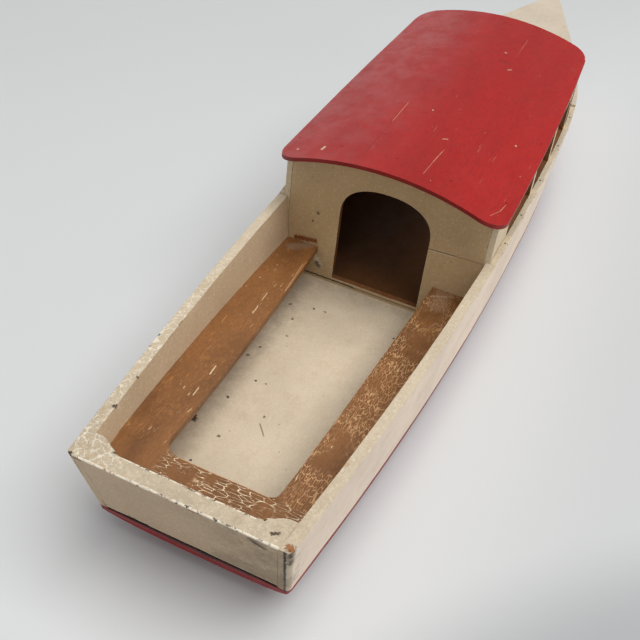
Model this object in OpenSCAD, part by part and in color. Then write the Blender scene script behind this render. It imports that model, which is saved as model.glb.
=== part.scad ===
// Wooden toy cabin launch: open cockpit with three benches, cabin with an arched door and side
// windows, arched roof, foredeck, and a carved bottom block under nailed side planks.
// +X is the bow, +Y is port, +Z is up. The ground is z = 0 and the middle of the length is x = 0.

/* [Hull] */
// Length from the top of the transom to the nose
length = 660; // [560:1:760]
// Half of the width at the top of the transom
stern_half = 55; // [50:0.5:60]
// Half of the greatest width
mid_half = 71.8; // [68:0.1:78]
// Distance of the greatest width from the stern
widest_x = 305; // [260:1:330]
// Sideways slope of the planks as they close on the nose
bow_slope = 0.385; // [0.34:0.005:0.45]
// How softly the straight bow lines turn into the parallel middle
bow_blend = 13; // [8:1:16]
// Half of the width of the blunt nose
nose_half = 1.2; // [1:0.1:2]
// How far the foot of the nose sits behind its head
bow_rake = 10; // [0:1:20]
// Height of the gunwale at the stern
gunwale_z = 72; // [66:0.5:80]
// How much the gunwale rises from stern to nose
sheer_rise = 14.5; // [8:0.5:22]
// Power of the gunwale's curve
sheer_power = 1.85; // [1.5:0.05:2.5]
// Lowest height of the joint between the planks and the bottom block
joint_low = 18.2; // [16:0.1:22]
// How much that joint rises at the stern
joint_rise = 7.8; // [4:0.1:10]
// Thickness of the side planks
plank_t = 5.8; // [4.5:0.1:6.5]
// Sideways lean of the planks at the stern, per unit of height
flare_stern = 0.115; // [0.08:0.005:0.14]
// Sideways lean of the planks from the cabin forward
flare_mid = 0.095; // [0.06:0.005:0.12]

/* [Transom] */
// Thickness of the transom along the hull
transom_t = 9.9; // [8:0.1:12]
// Backward lean of the transom, per unit of height
transom_rake = 0.28; // [0.15:0.01:0.35]
// How far the corner blocks reach forward from the transom's outer edge
corner_reach = 16; // [14:0.5:20]
// Height of the corner blocks
corner_h = 9; // [6:0.5:12]

/* [Bottom block] */
// Height of the block's upright edge
edge_t = 2; // [1.5:0.1:3]
// How high the aft end of the keel line lifts
stern_lift = 20; // [14:0.5:21]
// How high the fore end of the keel line lifts
bow_lift = 24; // [18:0.5:25]
// Aft end of the flat keel line
keel_aft = 165; // [140:1:200]
// Fore end of the flat keel line
keel_fore = 430; // [380:1:470]

/* [Cockpit] */
// Aft face of the door bulkhead
cockpit_end = 236; // [220:1:250]
// Height of the aft bench's top above the ground
aft_bench_z = 57.4; // [52:0.1:60]
// Height of the side benches' tops at the door bulkhead
fore_bench_z = 44.6; // [42:0.1:52]
// Thickness of the bench boards
bench_t = 4.2; // [3.5:0.1:6]
// Distance of the port bench's inner edge from the middle, aft and fore
port_bench_edge = [27.7, 41.2]; // [24:0.1:46]
// Distance of the starboard bench's inner edge from the middle, aft and fore
starboard_bench_edge = [31.9, 37.2]; // [24:0.1:46]
// Curve of the benches' inner edges, port and starboard, where 1 is straight
bench_curve = [1.5, 0.6]; // [0.4:0.1:2]
// Radius of the inside corners where the benches meet, port and starboard
bench_fillet = [9, 3.5]; // [2:0.5:12]
// Fore edge of the aft bench
aft_bench_x = 32.8; // [30:0.1:44]
// Thickness of the floor boards
floor_t = 2; // [1.5:0.1:3]

/* [Cabin] */
// Fore face of the front bulkhead
cabin_end = 456; // [440:1:464]
// Thickness of both bulkheads
bulkhead_t = 4; // [3:0.1:5]
// Distance of the cabin sides inside the gunwale's outer edge
side_inset = 3.7; // [3.2:0.1:4]
// Thickness of the cabin sides
side_t = 3.5; // [3:0.1:4]
// Height at which the cabin sides stand in the planks' rebate
rebate_z = 64; // [60:0.5:66]
// Height of the moulding at the foot of the cabin sides
strip_h = 2; // [1.5:0.1:3]
// Height of the window sills above the gunwale
sill_h = 0.8; // [0.4:0.1:4]
// Height of the wall left above the windows
header_h = 6; // [4:0.5:9]
// Aft and fore edges of the aftmost window
window_1 = [266, 320]; // [260:1:450]
// Aft and fore edges of the second window
window_2 = [326, 369]; // [260:1:450]
// Aft and fore edges of the third window
window_3 = [375, 418]; // [260:1:450]
// Aft and fore edges of the foremost window
window_4 = [424, 446]; // [260:1:450]
// Half of the door's width
door_half = 29.4; // [24:0.1:32]
// Height of the door sill
door_sill_z = 24.3; // [23:0.1:28]
// Height at which the door's arch springs
door_spring_z = 74; // [68:0.5:78]
// Height of the top of the arch
door_top_z = 97; // [90:0.5:99]

/* [Roof] */
// Radius of the roof's arch
roof_r = 179.5; // [160:0.5:210]
// Thickness of the roof
roof_t = 2.4; // [1.8:0.1:3.2]
// Aft edge of the roof
roof_aft = 221; // [214:1:226]
// Fore edge of the roof
roof_fore = 465; // [460:1:474]
// Port half of the roof's width aft
roof_port_aft = 69.8; // [68:0.1:72]
// Starboard half of the roof's width aft
roof_starboard_aft = 71.8; // [68:0.1:72]
// Port half of the roof's width forward
roof_port_fore = 66.8; // [64:0.1:70]
// Starboard half of the roof's width forward
roof_starboard_fore = 63.2; // [62:0.1:70]
// Radius of the roof's aft corners
roof_aft_r = 15; // [10:0.5:22]
// Radius of the roof's fore port corner
roof_port_r = 12.5; // [8:0.5:22]
// Radius of the roof's fore starboard corner
roof_starboard_r = 11; // [8:0.5:22]
// Outward bow of the roof's long edges, port and starboard
roof_bow = [1.6, 2.4]; // [0:0.1:4]
// Height of the roof's crown at the aft edge
crown_z = 120.4; // [117:0.1:124]
// Forward rise of the roof, in degrees
roof_tilt = 2.5; // [1.5:0.1:3.5]

/* [Foredeck and pins] */
// Thickness of the foredeck
deck_t = 3.5; // [2.5:0.1:4.5]
// Aft end of the solid block in the nose
nose_block_x = 590; // [570:1:610]
// Radius of the pins
pin_r = 0.6; // [0.4:0.05:0.8]
// Length of the pins
pin_l = 8; // [6:0.5:10]

/* [Hidden] */
$fn = 48;
windows = [window_1, window_2, window_3, window_4];

step = 10;             // spacing of the hull's stations
gap = 0.15;            // air left between pieces that meet on a curve
pin_play = 0.12;       // air left around a pin
big = 400;             // larger than any cross-section
cream = "#d8c9a8";
red = "#b3282a";
brown = "#8f5a2c";
inner_paint = "#6b4526";
steel = "#5d5650";

// ---- the hull's lines; x runs forward from the stern, z up from the ground ----

function lean_in(x) = pow(max(0, 1 - x / widest_x), 2);
function wide(x) = mid_half - (mid_half - stern_half) * lean_in(x);
function closing(x) = nose_half + bow_slope * (length - x);
function beam(x) = -bow_blend * ln(exp(-wide(x) / bow_blend) + exp(-closing(x) / bow_blend));
function sheer(x) = gunwale_z + sheer_rise * pow(max(0, x) / length, sheer_power);
function joint(x) = joint_low + joint_rise * pow((x - 300) / 300, 2);
function aft_part(x) = max(0, 1 - x / cockpit_end);
function flare(x) =
    (flare_mid + (flare_stern - flare_mid) * aft_part(x)) * (1 - exp(-beam(x) / 15));
function outer(x, z) = beam(x) - flare(x) * (sheer(x) - z);
function plank_y(x) = plank_t * sqrt(1 + pow(beam(x + 1) - beam(x), 2));
function inner(x, z) = max(0, outer(x, z) - plank_y(x));
function stern_x(z) = (gunwale_z - z) * transom_rake;
function leaned(x, z) =
    x - bow_rake * pow(max(0, x) / length, 8) * (sheer(x) - z) / (sheer(x) - joint(x));
function keel(x) =
    x < keel_aft ? stern_lift * pow((keel_aft - x) / keel_aft, 2)
    : x > keel_fore ? bow_lift * pow((x - keel_fore) / (length - keel_fore), 2.2)
    : 0;
function stations(x0, x1) =
    concat([x0], [for (x = [ceil((x0 + 1) / step) * step : step : x1 - 1]) x], [x1]);
function roof_z(x) = crown_z + (x - roof_aft) * tan(roof_tilt);

// ---- shared shapes ----

// A solid through a row of rings, each a loop of points seen from the stern.
module loft(rings) {
    n = len(rings[0]);
    last = (len(rings) - 1) * n;
    walls = [
        for (i = [0 : len(rings) - 2], j = [0 : n - 1])
            let (a = i * n + j, b = i * n + (j + 1) % n)
                each [[a, b, b + n], [a, b + n, a + n]]
    ];
    ends = [[for (j = [n - 1 : -1 : 0]) j], [for (j = [0 : n - 1]) last + j]];
    polyhedron([for (ring = rings) each ring], concat(walls, ends), convexity = 8);
}

function corner(x, y, z) = [leaned(x, z) - length / 2, y, z];

// A strip along the port side between two widths and two heights.
module side_band(x0, x1, low, high, far, near) {
    loft([
        for (x = stations(x0, x1))
            let (zl = low(x), zh = high(x))
                [
                    corner(x, far(x, zh), zh), corner(x, near(x, zh), zh),
                    corner(x, near(x, zl), zl), corner(x, far(x, zl), zl)
                ]
    ]);
}

// A board that spans the hull from side to side.
module cross_board(x0, x1, low, high, half) {
    loft([
        for (x = stations(x0, x1))
            let (zl = low(x), zh = high(x))
                [
                    corner(x, half(x, zh), zh), corner(x, -half(x, zh), zh),
                    corner(x, -half(x, zl), zl), corner(x, half(x, zl), zl)
                ]
    ]);
}

module at(x, y, z) { translate([x - length / 2, y, z]) children(); }
module both_sides() { children(); mirror([0, 1, 0]) children(); }
module starboard() { mirror([0, 1, 0]) children(); }
inside = function (x, z) inner(x, z) - gap;

// A slab that leans with the transom, from its outer face forward.
module raked(from, to) {
    lean = atan(transom_rake);
    at(0, 0, gunwale_z)
        rotate([0, -lean, 0])
            translate([from * cos(lean), -big / 2, -big / 2])
                cube([(to - from) * cos(lean), big, big]);
}

// Everything below the roof board, or below its top face.
module under_roof(r) {
    at(roof_aft, 0, crown_z)
        rotate([0, -roof_tilt, 0])
            translate([-50, 0, -roof_r])
                rotate([0, 90, 0])
                    cylinder(r = r, h = roof_fore - roof_aft + 100, $fn = 180);
}

// The plan of a band that follows the gunwale's outer edge, inset to port.
module plan_band(x0, x1, inset, wide_by) {
    xs = stations(x0, x1);
    rim = [for (x = xs) [x - length / 2, beam(x) - inset]];
    polygon(concat(rim, [for (i = [len(rim) - 1 : -1 : 0]) rim[i] - [0, wide_by]]));
}

// ---- pins, and the holes they stand in ----

module pin(r, l) { translate([0, 0, -l]) cylinder(r = r, h = l + (r > pin_r ? 1 : 0)); }

module pins_transom(r) {
    both_sides()
        for (z = [33, 46, 61])
            at(stern_x(z) + transom_t / 2, outer(stern_x(z) + transom_t / 2, z), z)
                rotate([-90, 0, 0]) pin(r, pin_l + 5);
}

module pins_strip(r) {
    both_sides()
        for (x = [258, 293, 340, 392, 438])
            at(x, beam(x) - side_inset / 2, sheer(x) + strip_h) pin(r, pin_l);
}

module pins_roof(r) {
    half_r = side_inset + side_t / 2;
    both_sides()
        for (x = [248, 323, 372, 421, 449])
            at(x, beam(x) - half_r, arch_z(x, beam(x) - half_r)) pin(r, pin_l - 2.5);
    for (x = [cockpit_end, cabin_end - bulkhead_t], y = [-34, 0, 34])
        at(x + bulkhead_t / 2, y, arch_z(x, y)) pin(r, pin_l);
}
function arch_z(x, y) = roof_z(x) - roof_r + sqrt(roof_r * roof_r - y * y);

module pins_deck(r) {
    both_sides()
        for (x = [474, 512, 552, 592])
            at(x, beam(x) - 3.2, sheer(x) + deck_t) pin(r, pin_l);
}

module pins_floor(r) {
    both_sides()
        for (x = [58, 128, 205])
            at(x, 27, joint(x) + floor_t) pin(r, pin_l);
}

module pins_bench(r) {
    both_sides()
        for (x = [62, 118, 172, 222])
            at(x, inner(x, bench_z(x)) - 4, bench_z(x)) pin(r, pin_l);
    both_sides()
        at(stern_x(aft_bench_z) + transom_t + 5.5, 20, aft_bench_z) pin(r, pin_l);
}

// ---- the hull ----

// Half outline of the block's section, from the middle of its foot to the port edge.
function block_ring(x) =
    let (
        zj = joint(x),
        half = outer(x, zj),
        depth = max(1, zj - edge_t - keel(x)),
        foot = [
            for (i = [-9 : 9])
                let (y = sin(i * 10), z = zj - edge_t - 1.08 * depth * pow(1 - pow(abs(y), 2.6), 0.45))
                    corner(x, -y * half, z)
        ]
    )
    concat(foot, [corner(x, -half, zj), corner(x, half, zj)]);

module bottom_block() {
    color(red) difference() {
        loft([for (x = stations(-2, length)) [for (p = block_ring(x)) p]]);
        translate([-big * 2, -big, -big]) cube([big * 4, big * 2, big]);
        raked(-60, 0);
        pins_floor(pin_r + pin_play);
    }
}

module plank() {
    difference() {
        side_band(
            -2, length,
            function (x) joint(x) + 0.02, function (x) sheer(x),
            function (x, z) outer(x, z), function (x, z) inner(x, z)
        );
        raked(-60, 0);
        translate([0, 0, rebate_z])
            linear_extrude(60)
                plan_band(cockpit_end - 0.1, cabin_end + 0.1, side_inset, 12);
        pins_transom(pin_r + pin_play);
        pins_strip(pin_r + pin_play);
        pins_deck(pin_r + pin_play);
    }
}

module port_plank() { color(cream) plank(); }
module starboard_plank() { color(cream) starboard() plank(); }

// A board across the hull whose aft face leans with the transom.
module raked_board(low, high, offset, fore) {
    loft([
        for (ring = [0, 1])
            [
                for (side_z = [[1, high], [-1, high], [-1, low], [1, low]])
                    let (z = side_z[1], x = ring == 0 ? stern_x(z) + offset : fore(z))
                        [x - length / 2, side_z[0] * inside(x, z), z]
            ]
    ]);
}

module transom() {
    color(cream) difference() {
        raked_board(joint(8) + 0.7, gunwale_z, 0, function (z) stern_x(z) + transom_t);
        pins_transom(pin_r + pin_play);
    }
}

// A small triangular block that leans against the transom in the port corner.
module corner_block() {
    reach = corner_reach - transom_t;
    loft([
        for (z = [gunwale_z - corner_h, gunwale_z])
            let (back = stern_x(z) + transom_t)
                [
                    for (p = [
                        [0, 34], [reach * 0.45, 41], [reach * 0.84, 44], [reach, 47],
                        [reach, inside(back + reach, z)], [0, inside(back, z)]
                    ])
                        [back + p[0] - length / 2, p[1], z]
                ]
    ]);
}

module port_corner_block() { color(cream) corner_block(); }
module starboard_corner_block() { color(cream) starboard() corner_block(); }

module nose_block() {
    color(cream) intersection() {
        cross_board(
            nose_block_x, length - plank_t / bow_slope - 3,
            function (x) joint(x) + 0.3, function (x) sheer(x) - 0.1, inside
        );
    }
}

module foredeck() {
    color(cream) difference() {
        cross_board(
            cabin_end + 0.2, length,
            function (x) sheer(x), function (x) sheer(x) + deck_t,
            function (x, z) beam(x)
        );
        pins_deck(pin_r + pin_play);
    }
}

module cockpit_floor() {
    color(cream) difference() {
        cross_board(
            stern_x(25) + transom_t + 0.6, cockpit_end - 0.2,
            function (x) joint(x), function (x) joint(x) + floor_t, inside
        );
        pins_floor(pin_r + pin_play);
    }
}

module cabin_floor() {
    color(inner_paint) cross_board(
        cockpit_end + bulkhead_t + 0.2, cabin_end - bulkhead_t - 0.2,
        function (x) joint(x), function (x) joint(x) + floor_t, inside
    );
}

// ---- the cabin ----

module wall_across(x) {
    foot = joint(x) + 0.2;
    top = rebate_z + gap;
    lower = inner(x + bulkhead_t / 2, foot) - 2 * gap;
    upper = inner(x + bulkhead_t / 2, top) - 2 * gap;
    between = beam(x + bulkhead_t / 2) - side_inset - side_t - 2 * gap;
    half = [[lower, foot], [upper, top], [between, top], [between, 130]];
    intersection() {
        at(x, 0, 0)
            rotate([90, 0, 90])
                linear_extrude(bulkhead_t)
                    polygon(concat(
                        half, [for (i = [3 : -1 : 0]) [-half[i][0], half[i][1]]]
                    ));
        under_roof(roof_r - roof_t - 0.05);
    }
}

module door_hole() {
    rise = door_top_z - door_spring_z;
    arch = [
        for (a = [0 : 6 : 180])
            let (c = cos(a), s = sin(a))
                [
                    sign(c) * door_half * pow(abs(c), 0.88),
                    door_spring_z + rise * pow(s, 0.8)
                ]
    ];
    rotate([90, 0, 90])
        linear_extrude(bulkhead_t * 3)
            polygon(concat(arch, [[-door_half, door_sill_z], [door_half, door_sill_z]]));
}

module door_bulkhead() {
    color(cream) difference() {
        wall_across(cockpit_end);
        at(cockpit_end - bulkhead_t, 0, 0) door_hole();
        pins_roof(pin_r + pin_play);
    }
}

module front_bulkhead() {
    sill = sheer(cabin_end) + deck_t + sill_h;
    tall = roof_z(cabin_end) - roof_t - 13 - sill;
    color(cream) difference() {
        wall_across(cabin_end - bulkhead_t);
        both_sides()
            at(cabin_end - 3 * bulkhead_t, 6, sill) cube([bulkhead_t * 5, 42, tall]);
        pins_roof(pin_r + pin_play);
    }
}

module window_hole(edges) {
    top = [for (x = edges) arch_z(x, beam(x)) - roof_t - header_h];
    sill = [for (x = edges) sheer(x) + sill_h];
    at(0, 0, 0)
        rotate([90, 0, 0])
            translate([0, 0, -mid_half - 10])
                linear_extrude(40)
                    polygon([
                        [edges[0], sill[0]], [edges[1], sill[1]], [edges[1], top[1]], [edges[0], top[0]]
                    ]);
}

module cabin_side() {
    difference() {
        intersection() {
            translate([0, 0, rebate_z + 0.05])
                linear_extrude(70) plan_band(cockpit_end, cabin_end, side_inset + 0.05, side_t);
            under_roof(roof_r - roof_t - 0.05);
        }
        for (edges = windows) window_hole(edges);
        pins_roof(pin_r + pin_play);
    }
}

module port_cabin_side() { color(cream) cabin_side(); }
module starboard_cabin_side() { color(cream) starboard() cabin_side(); }

module cabin_strip() {
    difference() {
        side_band(
            cockpit_end, cabin_end,
            function (x) sheer(x) + 0.02,
            function (x) sheer(x) + strip_h * min(1, 0.2 + (x - cockpit_end) / 14),
            function (x, z) beam(x), function (x, z) beam(x) - side_inset + 0.05
        );
        pins_strip(pin_r + pin_play);
    }
}

module port_cabin_strip() { color(cream) cabin_strip(); }
module starboard_cabin_strip() { color(cream) starboard() cabin_strip(); }

// The roof's plan: long edges that bow outwards, and a radius at each corner.
module roof_plan() {
    back = roof_aft - length / 2;
    front = roof_fore - length / 2;
    function edge(t, aft, fore, bow) =
        [back + t * (front - back), min(mid_half, aft + t * (fore - aft) + 4 * bow * t * (1 - t))];
    port = [for (t = [0 : 0.1 : 1]) edge(t, roof_port_aft, roof_port_fore, roof_bow[0])];
    starboard = [
        for (t = [0 : 0.1 : 1]) edge(t, roof_starboard_aft, roof_starboard_fore, roof_bow[1])
    ];
    difference() {
        polygon(concat(port, [for (i = [10 : -1 : 0]) [starboard[i].x, -starboard[i].y]]));
        translate([back, roof_port_aft]) corner_cut(roof_aft_r);
        translate([back, -roof_starboard_aft]) mirror([0, 1]) corner_cut(roof_aft_r);
        translate([front, roof_port_fore]) mirror([1, 0]) corner_cut(roof_port_r);
        translate([front, -roof_starboard_fore]) rotate(180) corner_cut(roof_starboard_r);
    }
}

// What is cut away to round a corner with the board lying ahead and to starboard of it.
module corner_cut(r) {
    translate([-1, 1 - r])
        difference() {
            square([r + 1, r + 1]);
            translate([r + 1, -1]) circle(r, $fn = 64);
        }
}

module roof() {
    color(red) difference() {
        intersection() {
            translate([0, 0, 70]) linear_extrude(90) roof_plan();
            under_roof(roof_r);
        }
        under_roof(roof_r - roof_t);
        pins_roof(pin_r + pin_play);
    }
}

// ---- the benches ----

// The benches slope down from the aft bench to the bulkhead.
function bench_z(x) =
    aft_bench_z + (fore_bench_z - aft_bench_z) * (x - aft_bench_x) / (cockpit_end - aft_bench_x);

// Distance of a side bench's inner edge from the middle. Side 0 is port, and 1 is starboard.
function bench_edge(x, edge, side) =
    let (
        along = max(0, (x - aft_bench_x) / (cockpit_end - aft_bench_x)),
        r = bench_fillet[side],
        into = max(0, aft_bench_x + r - x)
    )
    edge[0] + (edge[1] - edge[0]) * pow(along, bench_curve[side])
        - (r - sqrt(max(0, r * r - into * into)));

module side_bench(edge, side) {
    start = aft_bench_x + 0.05;
    fore = cockpit_end - 0.2;
    r = bench_fillet[side];
    turn = [for (a = [0 : 15 : 75]) start + r * (1 - cos(a))];
    difference() {
        loft([
            for (x = concat(turn, stations(start + r, fore)))
                let (top = bench_z(x), low = top - bench_t, near = bench_edge(x, edge, side))
                    [
                        corner(x, inside(x, top), top), corner(x, near, top),
                        corner(x, near, low), corner(x, inside(x, low), low)
                    ]
        ]);
        pins_bench(pin_r + pin_play);
    }
}

module port_bench() { color(brown) side_bench(port_bench_edge, 0); }
module starboard_bench() { color(brown) starboard() side_bench(starboard_bench_edge, 1); }

module aft_bench() {
    color(brown) difference() {
        raked_board(aft_bench_z - bench_t, aft_bench_z, transom_t + gap, function (z) aft_bench_x);
        pins_bench(pin_r + pin_play);
    }
}

ledger_low = function (x) bench_z(x) - bench_t - 6;
ledger_high = function (x) bench_z(x) - bench_t - 0.02;

module ledger() {
    difference() {
        side_band(
            aft_bench_x + 4, cockpit_end - 1, ledger_low, ledger_high,
            inside, function (x, z) inner(x, z) - 6
        );
        pins_bench(pin_r + pin_play);
    }
}

module port_bench_ledger() { color(brown) ledger(); }
module starboard_bench_ledger() { color(brown) starboard() ledger(); }

module aft_bench_ledger() {
    color(brown) difference() {
        intersection() {
            translate([-length / 2, -40, aft_bench_z - bench_t - 6]) cube([80, 80, 5.98]);
            raked(transom_t + gap, transom_t + 7);
        }
        pins_bench(pin_r + pin_play);
    }
}

// ---- the pins ----

module transom_pins() { color(steel) pins_transom(pin_r); }
module strip_pins() { color(steel) pins_strip(pin_r); }
module roof_pins() { color(steel) pins_roof(pin_r); }
module deck_pins() { color(steel) pins_deck(pin_r); }
module floor_pins() { color(steel) pins_floor(pin_r); }
module bench_pins() { color(steel) pins_bench(pin_r); }

bottom_block();
port_plank();
starboard_plank();
transom();
nose_block();
port_corner_block();
starboard_corner_block();
foredeck();
cockpit_floor();
cabin_floor();
door_bulkhead();
front_bulkhead();
port_cabin_side();
starboard_cabin_side();
port_cabin_strip();
starboard_cabin_strip();
roof();
port_bench();
starboard_bench();
aft_bench();
port_bench_ledger();
starboard_bench_ledger();
aft_bench_ledger();
transom_pins();
strip_pins();
roof_pins();
deck_pins();
floor_pins();
bench_pins();
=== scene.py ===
"""Looks of a painted wooden toy boat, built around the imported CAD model. Metres, +X forward, +Y port."""

import math

import bmesh
import bpy
from mathutils import Matrix, Vector, noise
from mathutils.bvhtree import BVHTree


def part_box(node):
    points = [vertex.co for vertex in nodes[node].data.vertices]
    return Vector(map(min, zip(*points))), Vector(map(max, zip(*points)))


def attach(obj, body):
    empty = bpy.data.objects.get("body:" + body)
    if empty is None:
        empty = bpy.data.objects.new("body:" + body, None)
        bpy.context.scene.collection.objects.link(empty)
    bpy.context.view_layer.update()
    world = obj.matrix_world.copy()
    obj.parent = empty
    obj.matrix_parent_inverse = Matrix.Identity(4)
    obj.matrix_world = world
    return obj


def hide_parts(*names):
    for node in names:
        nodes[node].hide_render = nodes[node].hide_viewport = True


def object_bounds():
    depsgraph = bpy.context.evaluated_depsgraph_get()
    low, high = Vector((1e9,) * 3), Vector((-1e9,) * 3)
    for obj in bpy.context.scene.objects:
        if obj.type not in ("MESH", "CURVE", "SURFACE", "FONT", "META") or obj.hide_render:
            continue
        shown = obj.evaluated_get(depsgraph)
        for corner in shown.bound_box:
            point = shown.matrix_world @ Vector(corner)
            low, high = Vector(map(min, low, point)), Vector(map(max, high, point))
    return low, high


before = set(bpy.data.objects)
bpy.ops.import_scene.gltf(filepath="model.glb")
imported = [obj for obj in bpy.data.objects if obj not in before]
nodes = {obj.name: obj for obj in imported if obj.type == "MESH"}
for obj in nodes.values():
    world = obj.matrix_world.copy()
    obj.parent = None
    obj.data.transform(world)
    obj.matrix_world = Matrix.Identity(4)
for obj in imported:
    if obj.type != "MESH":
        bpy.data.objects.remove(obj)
cad_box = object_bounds()
MM = 0.001

# ---- places taken from the frame ----

ground_z = cad_box[0][2]
door_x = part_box("door_bulkhead")[0][0]
cabin_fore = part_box("front_bulkhead")[1][0]


# ---- material graphs ----


def mark_group():
    """A node group: 1 near the segment from A to B, 0 away from it. Lengths in mm."""
    g = bpy.data.node_groups.new("mark", "ShaderNodeTree")
    for name, kind, way in (
        ("Point", "NodeSocketVector", "INPUT"),
        ("A", "NodeSocketVector", "INPUT"),
        ("B", "NodeSocketVector", "INPUT"),
        ("Width", "NodeSocketFloat", "INPUT"),
        ("Rag", "NodeSocketFloat", "INPUT"),
        ("Mask", "NodeSocketFloat", "OUTPUT"),
    ):
        g.interface.new_socket(name, in_out=way, socket_type=kind)
    start, end = g.nodes.new("NodeGroupInput"), g.nodes.new("NodeGroupOutput")

    def vec(op, a, b=None, scale=None):
        n = g.nodes.new("ShaderNodeVectorMath")
        n.operation = op
        g.links.new(a, n.inputs[0])
        if b is not None:
            g.links.new(b, n.inputs[1])
        if scale is not None:
            g.links.new(scale, n.inputs["Scale"])
        return n.outputs["Value" if op in ("DOT_PRODUCT", "LENGTH") else "Vector"]

    def mth(op, a, b, clamp=False):
        n = g.nodes.new("ShaderNodeMath")
        n.operation, n.use_clamp = op, clamp
        for i, value in enumerate((a, b)):
            if isinstance(value, (int, float)):
                n.inputs[i].default_value = value
            else:
                g.links.new(value, n.inputs[i])
        return n.outputs[0]

    ab = vec("SUBTRACT", start.outputs["B"], start.outputs["A"])
    ap = vec("SUBTRACT", start.outputs["Point"], start.outputs["A"])
    along = mth("DIVIDE", vec("DOT_PRODUCT", ap, ab), vec("DOT_PRODUCT", ab, ab), True)
    away = vec("LENGTH", vec("SUBTRACT", ap, vec("SCALE", ab, scale=along)))
    grain = g.nodes.new("ShaderNodeTexNoise")
    grain.inputs["Scale"].default_value = 1.1
    grain.inputs["Detail"].default_value = 4.0
    grain.inputs["Roughness"].default_value = 0.65
    g.links.new(start.outputs["Point"], grain.inputs["Vector"])
    shake = mth("MULTIPLY", mth("SUBTRACT", grain.outputs["Fac"], 0.5), start.outputs["Rag"])
    ratio = mth("ADD", mth("DIVIDE", away, start.outputs["Width"]), shake)
    mask = mth("MULTIPLY", mth("SUBTRACT", 1.1, ratio), 3.0, True)
    g.links.new(mask, end.inputs["Mask"])
    return g


MARK = mark_group()


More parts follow.
